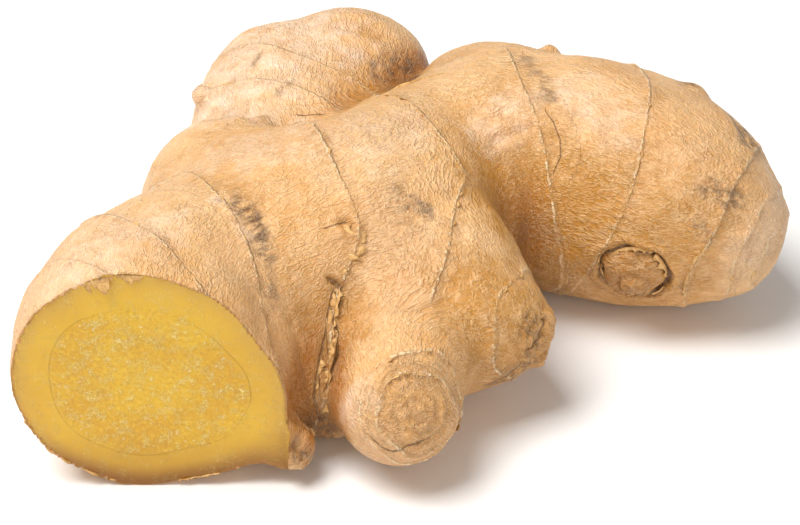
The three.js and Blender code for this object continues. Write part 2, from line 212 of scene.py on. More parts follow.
PINK_AREAS = [
    ([(-2, -12, 32), (1, -17, 26)], 8, 0.8), ([(44, 8, 31), (52, 4, 20)], 8, 0.6),
    ([(-5, -35.6, 12), (0, -37, 8)], 5, 0.9), ([(-24, -22, 33), (-18, -30, 20)], 6, 0.4),
]

# Papery frills stand on a ring: limb, stop, first and last angle in degrees, height and lean.
FRILLS = [
    (MAIN, 3, 30, -44, 0.6, 0.5), (MAIN, 3, -66, -125, 0.95, 0.6),
    (MAIN, 2, 60, -105, 0.4, 0.5), (MAIN, 1, 70, -60, 0.4, 0.5), (MAIN, 0, 60, -20, 0.3, 0.5),
    (MAIN, 5, 25, -60, 0.6, -0.6), (MAIN, 7, 10, -125, 0.55, 0.6), (MAIN, 8, -5, -110, 0.5, 0.6),
    (MAIN, 10, 30, -130, 0.7, -0.6), (MAIN, 11, 40, -140, 0.4, 0.5),
    (MAIN, 12, 60, -150, 0.45, 0.5), (TIP, 1, 35, -70, 0.6, 0.6), (TIP, 2, 25, -100, 0.6, 0.6),
    (KNOB, 2, -40, 150, 0.6, 0.6), (KNOB, 3, -60, 120, 0.6, 0.6), (BACK, 1, 55, -60, 0.35, 0.5),
    (BACK, 2, 40, -70, 0.4, 0.5), (STUB, 2, 50, 170, 1.0, 0.3), (STUB, 2, -175, -115, 0.9, 0.3),
]

# The skin's torn edge round the slice: first and last angle in degrees, height and lean. A
# negative height folds the peel over the flesh.
RIM_CENTRE = (-37.5, -33.12, 19.0)
RIM_FRILLS = [(-175, -26, 0.3, 0.7), (-30, 6, -2.2, 0.3), (2, 175, 0.3, 0.7)]

# Strips of peel torn along a line: points, height and lean.
TORN_STRIPS = [
    ([(-8.2, -12.3, 34.4), (-7.1, -13.4, 33.2), (-5.9, -14.5, 31.7), (-6.4, -15.8, 30.1),
      (-7.4, -17.1, 28.5)], 1.2, -1.1),
    ([(-8.9, -12.6, 34), (-8.3, -14, 32.6), (-7.6, -15.6, 30.8), (-8.2, -17.2, 28.6)], 1.1, -1.3),
    ([(-10.1, -17.4, 28), (-9, -17.8, 27.2), (-7.4, -18.2, 26.2)], 1.6, -1.1),
    (TEAR_LEFT, 0.7, -1.0),
    (TEAR_RIGHT, 0.8, 0.9),
    ([(9.5, 3.1, 33.8), (11.5, 1, 31.5), (13.6, -5, 29.9), (15.9, -8.9, 26.9), (18, -10.1, 24.1)],
     0.22, 0.5),
]
PEEL_THICKNESS = 0.1
PEEL_STEP = 0.28

# The skin's mesh comes from a grid that is fine near the surface and coarse elsewhere.
FINE_CELL = 0.58
COARSE_CELLS = 6
GRID_LOW = np.array([-62.0, -44.0, -4.0])
GRID_HIGH = np.array([66.0, 69.0, 45.0])
FAR = 1e9
VALLEY_REACH = 6
FLOOR_FADE = 0.8

# Colours are linear red, green, blue and alpha.
SKIN_TAN = (0.78, 0.455, 0.2, 1)
SKIN_BROWN = (0.71, 0.365, 0.12, 1)
SKIN_LIGHT = (0.84, 0.55, 0.3, 1)
SKIN_PINK = (0.64, 0.34, 0.15, 1)
SKIN_GOLD_AND_SHADE = (0.5, 0.21, 0.014, 1)
PAINTED_VALLEY_SHADE = (0.42, 0.14, 0.006, 1)
OCHRE = (0.55, 0.26, 0.065, 1)
PALE_CREAM_AND_LIGHT = (0.91, 0.66, 0.48, 1)
DARK_BROWN_AND_SHADOW = (0.16, 0.075, 0.03, 1)
RING_SCALE = (0.5, 0.25, 0.08, 1)
RING_EDGE_AND_SHADE = (0.42, 0.2, 0.06, 1)
RING_LINE = (0.95, 0.72, 0.44, 1)
BUD_BROWN = (0.4, 0.17, 0.03, 1)
BUD_GROOVE_AND_SHADOW = (0.14, 0.06, 0.02, 1)
CRACK_BROWN = (0.2, 0.085, 0.02, 1)
WRINKLE_HIGHLIGHT = (0.96, 0.72, 0.44, 1)
SKIN_SPECK = (0.36, 0.16, 0.05, 1)
FLESH_YELLOW = (0.71, 0.42, 0.014, 1)
FLESH_OCHRE = (0.64, 0.34, 0.008, 1)
FLESH_OUTER = (0.67, 0.4, 0.028, 1)
FLESH_SHADE = (0.44, 0.22, 0.012, 1)
FLESH_BRIGHT = (0.84, 0.58, 0.07, 1)
FLESH_DEEP = (0.48, 0.23, 0.008, 1)
FLESH_LINE = (0.44, 0.24, 0.01, 1)
RIND = (0.56, 0.32, 0.05, 1)
RIND_SHADE = (0.28, 0.11, 0.006, 1)
RIND_EDGE = (0.36, 0.16, 0.04, 1)
FIBRE_END = (0.95, 0.78, 0.32, 1)
MOIST_GLINT = (0.97, 0.88, 0.62, 1)
PEEL_TAN = (0.72, 0.43, 0.16, 1)
PEEL_BROWN = (0.48, 0.25, 0.07, 1)
PEEL_SPOT = (0.36, 0.17, 0.05, 1)
TABLE_WHITE = (0.96, 0.96, 0.96, 1)
ROOM_WHITE = (1, 1, 1, 1)

# The table, light and camera, in metres; the lens is in millimetres.
TABLE_HALF = 2.0
ROOM_STRENGTH = 0.32
LIGHT_TARGET = (0, 0, 0.015)
CAMERA_ELEVATION = math.radians(33)
CAMERA_DISTANCE = 0.415
CAMERA_TARGET = (FRAME_SHIFT[0] * MM, FRAME_SHIFT[1] * MM, 0.018)
CAMERA_LENS = 120


def unit(vector):
    vector = np.array(vector, float)
    return vector / np.linalg.norm(vector)


def unit_rows(vectors):
    return vectors / np.maximum(np.linalg.norm(vectors, axis=1), 1 / FAR)[:, None]


def smooth(values, low, high):
    share = np.clip((values - low) / (high - low), 0, 1)
    return share * share * (3 - 2 * share)


def string_of(points):
    """A Catmull-Rom curve through points, a few samples for each span."""
    points = np.array(points, float)
    padded = np.vstack([2 * points[0] - points[1], points, 2 * points[-1] - points[-2]])
    samples = []
    for a, b, c, d in zip(padded, padded[1:], padded[2:], padded[3:]):
        for t in np.arange(BALLS_PER_SPAN) / BALLS_PER_SPAN:
            samples.append(0.5 * (2 * b + (c - a) * t + (2 * a - 5 * b + 4 * c - d) * t ** 2
                                  + (3 * b - a - 3 * c + d) * t ** 3))
    return np.array(samples + [points[-1]])


STRINGS = [string_of(points) for points in LOBES.values()]


def distance_to_string(at, string):
    """How far each point lies outside a string of balls; negative inside it."""
    nearest = np.full(len(at), FAR)
    for a, b in zip(string[:-1], string[1:]):
        run = b[:3] - a[:3]
        away = at - a[:3]
        share = np.clip(away @ run / (run @ run), 0, 1)
        gap = away - share[:, None] * run
        reach = np.sqrt(np.einsum("ij,ij->i", gap, gap)) - a[3] - share * (b[3] - a[3])
        nearest = np.minimum(nearest, reach)
    return nearest


def swell(at):
    return (SWELL_HEIGHT * np.sin(at[:, 0] * 0.31 + 1.3) * np.sin(at[:, 1] * 0.27 + 0.4)
            * np.sin(at[:, 2] * 0.33 + 2))


def shoot_distance(at):
    """Distance to the nearest of the small dried shoots, each a stretched ball."""
    nearest = np.full(len(at), FAR)
    for centre, facing, radius, height in SHOOTS:
        away = at - np.array(centre)
        along = away @ unit(facing)
        across = np.sqrt(np.maximum(np.einsum("ij,ij->i", away, away) - along ** 2, 0))
        stretched = np.sqrt((across / radius) ** 2 + (along / height) ** 2)
        nearest = np.minimum(nearest, (stretched - 1) * radius)
    return nearest


def blended(at):
    """The grown form's distance at each point, and how much of it each limb gives."""
    distances = np.stack([distance_to_string(at, string) for string in STRINGS])
    lowest = distances.min(0)
    pulls = np.exp((lowest - distances) / BLEND_WIDTH)
    total = pulls.sum(0)
    shares = np.zeros((len(STOPS), len(at)))
    for limb, pull in zip(LIMB_OF_LOBE, pulls):
        shares[limb] += pull / total
    form = lowest - BLEND_WIDTH * np.log(total) + swell(at)
    shoots = shoot_distance(at)
    overlap = np.maximum(SHOOT_BLEND - np.abs(form - shoots), 0)
    return np.minimum(form, shoots) - overlap ** 2 / (4 * SHOOT_BLEND), shares


def knife(at):
    """Negative inside the corner that the slice takes away."""
    return np.maximum(at[:, 1] - SLICE_Y, at[:, 0] - SLICE_X)


def in_chunks(function, at, size=60000):
    return np.concatenate([function(part) for part in np.array_split(at, len(at) // size + 1)])


def form_at(at):
    return in_chunks(lambda part: blended(part)[0], at)


def limb_shares(at):
    return in_chunks(lambda part: blended(part)[1].T, at)


def narrow_band_grid():
    """The sliced form's distances on a fine grid, worked out only near the surface."""
    block = FINE_CELL * COARSE_CELLS
    counts = np.ceil((GRID_HIGH - GRID_LOW) / block).astype(int)
    axes = [GRID_LOW[i] + block * (np.arange(counts[i]) + 0.5) for i in range(3)]
    centres = np.stack(np.meshgrid(*axes, indexing="ij"), -1).reshape(-1, 3)
    coarse = np.maximum(form_at(centres), -knife(centres))
    values = coarse.reshape(counts)
    for axis in range(3):
        values = np.repeat(values, COARSE_CELLS, axis)
    near = np.abs(coarse).reshape(counts) < block * 1.1
    for axis in range(3):
        near = np.repeat(near, COARSE_CELLS, axis)
    at = GRID_LOW + FINE_CELL * (np.argwhere(near) + 0.5)
    values[near] = np.maximum(form_at(at), -knife(at))
    return values


def surface_net(values):
    """One vertex for each cell that the surface crosses, and a quad for each crossed grid line."""
    corners = np.array([[i >> 2 & 1, i >> 1 & 1, i & 1] for i in range(8)])
    lines = [(a, b) for a in range(8) for b in range(a + 1, 8) if bin(a ^ b).count("1") == 1]
    size = np.array(values.shape) - 1
    inside = values < 0
    count = sum(inside[x:x + size[0], y:y + size[1], z:z + size[2]].astype(np.int8) for x, y, z in corners)
    active = np.argwhere((count > 0) & (count < 8))
    number = np.full(size, -1, np.int64)
    number[tuple(active.T)] = np.arange(len(active))
    found = np.stack([values[tuple((active + corner).T)] for corner in corners], -1)
    total = np.zeros((len(active), 3))
    crossings = np.zeros(len(active))
    for a, b in lines:
        crossed = (found[:, a] < 0) != (found[:, b] < 0)
        share = found[crossed, a] / (found[crossed, a] - found[crossed, b])
        total[crossed] += corners[a] + share[:, None] * (corners[b] - corners[a])
        crossings[crossed] += 1
    at = GRID_LOW + FINE_CELL * (active + total / crossings[:, None] + 0.5)
    return at, np.vstack([crossed_quads(inside, number, axis) for axis in range(3)])


def crossed_quads(inside, number, axis):
    """The quads round the grid lines along one axis that the surface crosses."""
    first, second = [(1, 2), (2, 0), (0, 1)][axis]
    here = [slice(1, -1)] * 3
    there = [slice(1, -1)] * 3
    here[axis] = slice(0, -1)
    there[axis] = slice(1, None)
    quads = []
    for flip in (False, True):
        a, b = inside[tuple(here)], inside[tuple(there)]
        crossed = np.argwhere(b & ~a if flip else a & ~b)
        crossed[:, first] += 1
        crossed[:, second] += 1
        ring = []
        for step_first, step_second in ((-1, -1), (0, -1), (0, 0), (-1, 0)):
            cell = crossed.copy()
            cell[:, first] += step_first
            cell[:, second] += step_second
            ring.append(number[tuple(cell.T)])
        quads.append(np.stack(ring[::-1] if flip else ring, 1))
    return np.vstack(quads)


def slope_of(at, reach=0.08):
    """The form's distance and its gradient at each point."""
    here = form_at(at)
    slope = np.empty_like(at)
    for axis in range(3):
        step = np.zeros(3)
        step[axis] = reach
        slope[:, axis] = (form_at(at + step) - here) / reach
    return here, slope


def normals_at(at):
    """Unit directions straight out of the grown form."""
    return unit_rows(slope_of(at)[1])


def onto_surface(at):
    """Moves net vertices onto the skin, the slice or the edge between; says which are where."""
    form, cut = form_at(at), knife(at)
    edge = (np.abs(form) < 0.6 * FINE_CELL) & (np.abs(cut) < 0.6 * FINE_CELL)
    flesh = ~edge & (np.abs(cut) <= np.abs(form))
    on_front = np.abs(at[:, 1] - SLICE_Y) <= np.abs(at[:, 0] - SLICE_X)
    skin = ~flesh
    for _ in range(2):
        here, slope = slope_of(at[skin])
        at[skin] -= np.clip(here / np.maximum((slope ** 2).sum(1), 0.2), -0.6, 0.6)[:, None] * slope
        sliced = flesh | edge
        at[sliced & on_front, 1] = SLICE_Y
        at[sliced & ~on_front, 0] = SLICE_X
    return at, flesh, edge


def ring_basis(facing):
    """The facing, upright and sideways directions of a ring's plane."""
    facing = unit(facing)
    upright = unit(np.array([0, 0, 1]) - facing * facing[2])
    return facing, upright, np.cross(upright, facing)


def ring_shift(centre, bow, angle):
    """How far a ring wanders off its plane at an angle."""
    start = centre[0] * 0.7 + centre[1] * 0.4
    wander = 0.6 * np.sin(2 * angle + start) + 0.4 * np.sin(5 * angle + 2 * start)
    turn = np.arctan2(np.sin(angle - BOW_ANGLE), np.cos(angle - BOW_ANGLE))
    return RING_WANDER * wander + bow * np.exp(-(turn / BOW_WIDTH) ** 2)


def nearest_ring(at, shares):
    """The signed gap to the nearest ring on a point's own limb, and that ring's strength."""
    gap = np.full(len(at), 99.0)
    strength = np.zeros(len(at))
    for limb, stops in STOPS.items():
        own = smooth(shares[:, limb], 0.35, 0.6)
        for centre, facing, power, bow in stops:
            if power == 0:
                continue
            facing, upright, sideways = ring_basis(facing)
            away = at - np.array(centre)
            angle = np.arctan2(away @ sideways, away @ upright)
            past = away @ facing - ring_shift(centre, bow, angle)
            near = np.linalg.norm(away, axis=1) < RING_RADIUS_LIMIT
            closer = near & (own > 0) & (np.abs(past) < np.abs(gap))
            gap[closer] = past[closer]
            strength[closer] = power * own[closer]
    return np.clip(gap, -RING_REACH, RING_REACH), strength


def own_grain(at, limb):
    """Coordinates across and along one limb; those along it are squeezed, for long wrinkles."""
    spine = string_of([stop[0] for stop in STOPS[limb]])
    best = np.full(len(at), FAR)
    grain = np.zeros_like(at)
    before = 0.0
    for a, b in zip(spine[:-1], spine[1:]):
        length = np.linalg.norm(b - a)
        facing, upright, sideways = ring_basis(b - a)
        along = (at - a) @ facing
        held = np.clip(along, 0, length)
        away = at - a - held[:, None] * facing
        distance = np.linalg.norm(away, axis=1)
        closer = distance < best
        best[closer] = distance[closer]
        found = np.stack([away @ sideways, away @ upright, ALONG_SCALE * (before + along)], 1)
        grain[closer] = found[closer]
        before += length
    return grain


def grain_of(at, shares):
    """The limbs' grains, blended; each limb's is shifted to meet the main limb's at its root."""
    grain = shares[:, MAIN, None] * own_grain(at, MAIN)
    for limb in list(STOPS)[1:]:
        root = np.array([STOPS[limb][0][0]], float)
        shift = own_grain(root, MAIN) - own_grain(root, limb)
        grain += shares[:, limb, None] * (own_grain(at, limb) + shift)
    return grain


def rough(at, scale, seed, octaves=1):
    """Smooth random values between about -1 and 1."""
    shift = Vector((seed * 17.3, seed * 5.1, seed * 29.7))
    if octaves == 1:
        return np.array([noise.noise(Vector(point) * scale + shift) for point in at])
    return np.array([
        noise.fractal(Vector(point) * scale + shift, 0.8, 2.1, octaves) for point in at
    ])


def across_line(at, points, normals):
    """The signed and plain distances to a polyline, and how far a point is past its ends."""
    points = np.array(points, float)
    nearest = np.full(len(at), FAR)
    signed = np.zeros(len(at))
    overshoot = np.zeros(len(at))
    for a, b in zip(points[:-1], points[1:]):
        run = b - a
        share = (at - a) @ run / (run @ run)
        away = at - a - np.clip(share, 0, 1)[:, None] * run
        distance = np.linalg.norm(away, axis=1)
        side = np.sign(np.einsum("ij,ij->i", np.cross(run, normals), away))
        closer = distance < nearest
        nearest[closer] = distance[closer]
        signed[closer] = (side * distance)[closer]
        past = np.maximum(np.maximum(-share, share - 1), 0) * np.linalg.norm(run)
        overshoot[closer] = past[closer]
    return signed, nearest, overshoot


def strokes_at(at, stains, ragged):
    strength = np.zeros(len(at))
    for points, radius, power in stains:
        points = np.array(points, float)
        for a, b in zip(points[:-1], points[1:]):
            run = b - a
            share = np.clip((at - a) @ run / (run @ run), 0, 1)
            distance = np.linalg.norm(at - a - share[:, None] * run, axis=1) / radius + 0.5 * ragged
            strength = np.maximum(strength, power * (1 - smooth(distance, 0.3, 1.25)))
    return strength


def bud_profile(at):
    """The bud scar's height, and the scaled distance from its groove, which widens below."""
    facing, upright, sideways = ring_basis(BUD_FACING)
    away = at - np.array(BUD_CENTRE)
    along = away @ facing
    up, side = away @ upright, away @ sideways
    angle = np.arctan2(side, up)
    across = np.hypot(side, up) + 0.3 * np.sin(3 * angle + 1) + 0.22 * np.sin(7 * angle)
    near = np.abs(along) < 7
    low = 0.5 - 0.5 * np.cos(angle + 0.4)
    rim = (0.7 - 0.4 * low) * np.exp(-((across - BUD_RADIUS - 0.6) / 0.6) ** 2)
    groove = -(0.5 + 1.1 * low) * np.exp(-((across - BUD_RADIUS + 0.5) / 0.6) ** 2)
    dome = 1.5 * np.sqrt(np.maximum(1 - (across / 4.9) ** 2, 0))
    inner = np.hypot(side - 0.3, up + 1.3)
    scale_step = 0.45 * np.exp(-((inner - 3.1) / 0.4) ** 2) - 0.3 * np.exp(-((inner - 2.5) / 0.35) ** 2)
    tip = 0.9 * np.sqrt(np.maximum(1 - (inner / 2.0) ** 2, 0))
    height = rim + groove + dome + (scale_step + tip) * (across < 4.9)
    gap = (across - BUD_RADIUS + 0.45) / (0.35 + 0.75 * low)
    return np.where(near, height, 0), np.where(near, gap, 9)


def skin_height(at, grain, gap, strength, normals):
    """The height of rings, wrinkles, cracks and the bud scar over the grown form."""
    ragged = rough(at, 0.5, 1)
    broken = np.clip(0.65 + 0.9 * rough(at, 0.22, 2), 0.15, 1.2)
    line = np.exp(-((gap + 0.25 * ragged) / RING_RIDGE_WIDTH) ** 2)
    ledge = np.where(gap < 0, np.exp(np.minimum(gap, 0) / 1.8), np.exp(-np.maximum(gap, 0) / 0.3))
    height = strength * broken * (RING_RIDGE * line + RING_LEDGE * ledge)
    height += 0.1 * rough(grain, 0.5, 3, 3)
    height += 0.3 * rough(at, 0.12, 4)
    crack = np.full(len(at), 3.0)
    crack_power = np.zeros(len(at))
    for points, width, depth in CRACKS:
        signed, distance, overshoot = across_line(at + 0.25 * ragged[:, None], points, normals)
        height -= depth * np.exp(-(distance / 0.6) ** 2)
        closer = distance < np.abs(crack)
        crack[closer] = (signed / (width / 0.3))[closer]
        crack_power[closer] = (1 - smooth(overshoot, 0.2, 1.2))[closer]
    for points, width, depth in DENTS:
        _, distance, _ = across_line(at + 0.4 * ragged[:, None], points, normals)
        height -= depth * np.exp(-(distance / width) ** 2)
        height += 0.35 * depth * np.exp(-((distance - 1.9 * width) / width) ** 2)
    for centre, radius, fold, spacing in FOLDED_SCARS:
        distance = np.linalg.norm(at - np.array(centre), axis=1)
        folds = np.sin(2 * math.pi * distance / spacing + 2.5 * ragged)
        height += fold * folds * (1 - smooth(distance, 0.75 * radius, radius))
    bud, bud_gap = bud_profile(at)
    return height + bud, np.clip(crack, -3, 3), crack_power, np.clip(bud_gap, -9, 9)


def flesh_height(at, rim):
    """How far the sliced flesh stands back from the slice: a little, and more beside the skin."""
    return -0.1 - 0.3 * np.exp(-rim / 0.7) + 0.06 * rough(at, 0.9, 7, 2)


def vertex_normals(at, quads):
    normals = np.zeros_like(at)
    across = np.cross(at[quads[:, 2]] - at[quads[:, 0]], at[quads[:, 3]] - at[quads[:, 1]])
    for corner in range(4):
        np.add.at(normals, quads[:, corner], across)
    return unit_rows(normals)


def mesh_object(name, at, faces):
    """A smooth-shaded mesh from points in millimetres in the root's own frame."""
    mesh = bpy.data.meshes.new(name)
    mesh.from_pydata(((at + FRAME_SHIFT) * MM).tolist(), [], faces)
    mesh.polygons.foreach_set("use_smooth", np.ones(len(faces), bool))
    mesh.update()
    made = bpy.data.objects.new(name, mesh)
    bpy.context.scene.collection.objects.link(made)
    return made


def set_attribute(mesh, name, values):
    values = np.asarray(values, np.float32)
    kind = "FLOAT" if values.ndim == 1 else "FLOAT_VECTOR"
    key = "value" if values.ndim == 1 else "vector"
    mesh.attributes.new(name, kind, "POINT").data.foreach_set(key, values.ravel())


def pushed_out(at, height, flesh, edge):
    """The points raised by their heights: out of the skin, or straight out of the slice."""
    outward = normals_at(at)
    outward[edge, 1] *= 0.2
    outward[flesh] = (0, -1, 0)
    outward[flesh & (at[:, 0] > SLICE_X - 0.01)] = (-1, 0, 0)
    raised = at + outward * height[:, None]
    raised[:, 2] = np.maximum(raised[:, 2], 0)
    return raised


def make_root():
    """The whole root as one closed mesh, with its skin and its sliced flesh."""
    at, quads = surface_net(narrow_band_grid())
    at, flesh, edge = onto_surface(at)
    normals = vertex_normals(at, quads)
    shares = limb_shares(at)
    rim = -form_at(at)
    grain = grain_of(at, shares)
    gap, strength = nearest_ring(at, shares)
    height, crack, crack_power, bud_gap = skin_height(at, grain, gap, strength, normals)
    height = np.where(flesh, flesh_height(at, rim), height * smooth(at[:, 2], 0.0, FLOOR_FADE))
    # Painted shade: how hollow the skin is here, which the skin material turns into a deep gold.
    valley_shade = np.clip(1 - form_at(at + VALLEY_REACH * normals) / VALLEY_REACH, 0, 1)
    ragged = rough(at, 0.4, 6, 3)
    tables = (DARK_STAINS_AND_SHADOW, OCHRE_STAINS, PALE_STAINS_AND_LIGHT, GOLD_AND_SHADE_AREAS, PINK_AREAS)
    dark_and_shadow, ochre, pale_and_light, gold_and_shade, pink = (strokes_at(at, table, ragged) for table in tables)

    root = mesh_object("ginger_skin", pushed_out(at, height, flesh, edge), quads.tolist())
    on_slice = (flesh | edge)[quads].all(1) & flesh[quads].any(1)
    root.data.polygons.foreach_set("material_index", on_slice.astype(np.int32))
    turn = gap * math.pi / RING_REACH
    set_attribute(root.data, "ring", np.stack([np.cos(turn), np.sin(turn), strength], 1))
    set_attribute(root.data, "grain", grain)
    set_attribute(root.data, "stains", np.stack([dark_and_shadow, ochre, pale_and_light], 1))
    set_attribute(root.data, "areas", np.stack([gold_and_shade, pink, valley_shade], 1))
    set_attribute(root.data, "crack", np.stack([crack, crack_power, bud_gap], 1))
    set_attribute(root.data, "rim", rim)
    return root


def skin_points(starts, directions):
    """Where rays from inside the root reach its skin."""
    at = starts.copy()
    for _ in range(60):
        at -= 0.9 * np.minimum(form_at(at), 0)[:, None] * directions
    return at


def ring_roots(centre, facing, bow, radius, first, last, wander=1.0):
    """Points on the skin along part of a ring, with the way that its frill leans."""
    facing, upright, sideways = ring_basis(facing)
    count = max(int(abs(math.radians(last - first)) * radius / PEEL_STEP), 8)
    angles = np.radians(np.linspace(first, last, count))
    directions = np.outer(np.cos(angles), upright) + np.outer(np.sin(angles), sideways)
    starts = np.array(centre) + np.outer(wander * ring_shift(centre, bow, angles), facing)
    roots = skin_points(starts, directions)
    normals = normals_at(roots)
    along = facing - (normals @ facing)[:, None] * normals
    return roots, normals, unit_rows(along)


def line_roots(points):
    """Points on the skin along a line, with the way that its strip of peel leans."""
    points = np.array(points, float)
    lengths = np.linalg.norm(np.diff(points, axis=0), axis=1)
    distance = np.concatenate([[0], np.cumsum(lengths)])
    steps = np.arange(0, distance[-1], PEEL_STEP)
    roots = np.stack([np.interp(steps, distance, points[:, axis]) for axis in range(3)], 1)
    normals = normals_at(roots)
    roots -= form_at(roots)[:, None] * normals
    along = np.cross(np.gradient(roots, axis=0), normals)
    return roots, normals, unit_rows(along)


def peel_rows(roots, normals, along, height, lean, seed):
    """A ragged strip of peel in rows from its root to its torn edge, and its width."""
    ragged = 1.3 * rough(roots, 0.45, seed, 2) + 0.8 * rough(roots, 1.9, seed + 5, 2)
    steps = np.arange(len(roots))
    ends = smooth(steps, 0, 6) * smooth(steps[::-1], 0, 6)
    width = abs(height) * ends * np.clip(0.6 + ragged, 0, 1.8)
    tilt = lean + 0.5 * rough(roots, 0.8, seed + 9)
    wave = 0.12 * height * rough(roots, 1.1, seed + 3)
    rows = []
    for share in (0.0, 0.35, 0.7, 1.0):
        rise = 0.75 * width * share * (1 - 0.3 * share * np.minimum(np.abs(tilt), 1.5))
        curl = width * tilt * share ** 1.6 + share * wave
        rows.append(roots + normals * (math.copysign(1, height) * rise - 0.12)[:, None]
                    + along * curl[:, None])
    return np.stack(rows), width


def wide_runs(width, least=0.12, shortest=4):
    """The stretches of a strip that are wide enough to be seen, as first and last indices."""
    runs = []
    start = None
    for index, wide in enumerate(np.append(width > least, False)):
        if wide and start is None:
            start = index
        elif not wide and start is not None:
            if index - start >= shortest:
                runs.append((start, index - 1))
            start = None
    return runs


def add_shell(points, faces, rows, normals):
    """A closed thin shell over a grid of rows."""
    depth, span = rows.shape[:2]
    base = len(points)
    under = base + depth * span
    for sheet in (rows, rows - PEEL_THICKNESS * normals):
        points.extend(sheet.reshape(-1, 3).tolist())
    for row in range(depth - 1):
        for column in range(span - 1):
            corner = row * span + column
            quad = (corner, corner + 1, corner + span + 1, corner + span)
            faces.append([base + index for index in quad])
            faces.append([under + index for index in reversed(quad)])
    border = list(range(span))
    border += [row * span + span - 1 for row in range(1, depth)]
    border += [(depth - 1) * span + column for column in range(span - 2, -1, -1)]
    border += [row * span for row in range(depth - 2, 0, -1)]
    for a, b in zip(border, border[1:] + border[:1]):
        faces.append([base + b, base + a, under + a, under + b])


def bud_rim():
    """Points round the bud scar's torn rim."""
    facing, upright, sideways = ring_basis(BUD_FACING)
    angles = np.radians(np.arange(-150, 151, 6))
    return np.array(BUD_CENTRE) + BUD_RADIUS * (np.outer(np.cos(angles), upright)
                                                + np.outer(np.sin(angles), sideways))


def peel_strips():
    """Every strip of peel: its roots, normals and leaning direction, then its height and lean."""
    for limb, stop, first, last, height, lean in FRILLS:
        centre, facing, _, bow = STOPS[limb][stop]
        radius = 15.0 if limb in (MAIN, BACK) else 8.0
        yield ring_roots(centre, facing, bow, radius, first, last), height, lean
    for first, last, height, lean in RIM_FRILLS:
        yield ring_roots(RIM_CENTRE, (0, -1, 0), 0, 18.0, first, last, 0.0), height, lean
    for points, height, lean in TORN_STRIPS:
        yield line_roots(points), height, lean
    yield line_roots(bud_rim()), 0.8, 0.7


def make_frills():
    points, faces = [], []
    for seed, ((roots, normals, along), height, lean) in enumerate(peel_strips(), 20):
        rows, width = peel_rows(roots, normals, along, height, lean, seed)
        hidden = (knife(roots) < 0.05) | (form_at(roots + 0.6 * normals) < 0.2) | (roots[:, 2] < 0.6)
        width[hidden] = 0
        for start, end in wide_runs(width):
            add_shell(points, faces, rows[:, start:end + 1], normals[start:end + 1])
    at = np.array(points)
    at[:, 2] = np.maximum(at[:, 2], 0)
    return mesh_object("papery_frills", at, faces)


def add_node(tree, kind, values=None, **settings):
    """A shader node; values maps sockets to numbers, colours or another node's output."""
    made = tree.nodes.new(kind)
    for name, value in settings.items():
        setattr(made, name, value)
    for key, value in (values or {}).items():
        if isinstance(value, bpy.types.NodeSocket):
            tree.links.new(value, made.inputs[key])
        else:
            made.inputs[key].default_value = value
    return made


def math_of(tree, operation, *values):
    return add_node(tree, "ShaderNodeMath", dict(enumerate(values)), operation=operation).outputs[0]


def times(tree, *values):
    result = values[0]
    for value in values[1:]:
        result = math_of(tree, "MULTIPLY", result, value)
    return result


def sum_of(tree, *values):
    result = values[0]
    for value in values[1:]:
        result = math_of(tree, "ADD", result, value)
    return result


def away_from(tree, value, middle):
    return math_of(tree, "ABSOLUTE", math_of(tree, "SUBTRACT", value, middle))


def mixed(tree, share, first, second):
    return add_node(tree, "ShaderNodeMix", {0: share, 6: first, 7: second}, data_type="RGBA").outputs[2]


def ranged(tree, value, low, high, start=0.0, end=1.0):
    node = add_node(tree, "ShaderNodeMapRange", {0: value, 1: low, 2: high, 3: start, 4: end},
                    interpolation_type="SMOOTHSTEP")
    return node.outputs[0]


def noise_in(tree, vector, scale, detail=3.0, distortion=0.0, roughness=0.55):
    node = add_node(tree, "ShaderNodeTexNoise", {
        "Vector": vector, "Scale": scale, "Detail": detail, "Distortion": distortion,
        "Roughness": roughness,
    })
    return node.outputs[0]


def attribute(tree, name, output):
    return add_node(tree, "ShaderNodeAttribute", attribute_name=name).outputs[output]


def parts_of(tree, name):
    return add_node(tree, "ShaderNodeSeparateXYZ", {0: attribute(tree, name, 1)}).outputs


def place_in_mm(tree):
    place = add_node(tree, "ShaderNodeTexCoord").outputs["Object"]
    return add_node(tree, "ShaderNodeVectorMath", {0: place, "Scale": 1000.0},
                    operation="SCALE").outputs[0]


def new_material(name):
    material = bpy.data.materials.new(name)
    material.use_nodes = True
    tree = material.node_tree
    tree.nodes.clear()
    shader = add_node(tree, "ShaderNodeBsdfPrincipled")
    out = add_node(tree, "ShaderNodeOutputMaterial")
    tree.links.new(shader.outputs[0], out.inputs[0])
    return material, tree, shader


def worms(tree, vector, scale, distortion, width=0.14):
    """Thin winding raised lines, brightest along their middles."""
    value = noise_in(tree, vector, scale, 1.5, distortion, 0.5)
    return ranged(tree, away_from(tree, value, 0.5), 0.0, width, 1.0, 0.0)


def bumped(tree, height, strength, distance):
    values = {"Height": height, "Strength": strength, "Distance": distance}
    return add_node(tree, "ShaderNodeBump", values).outputs[0]


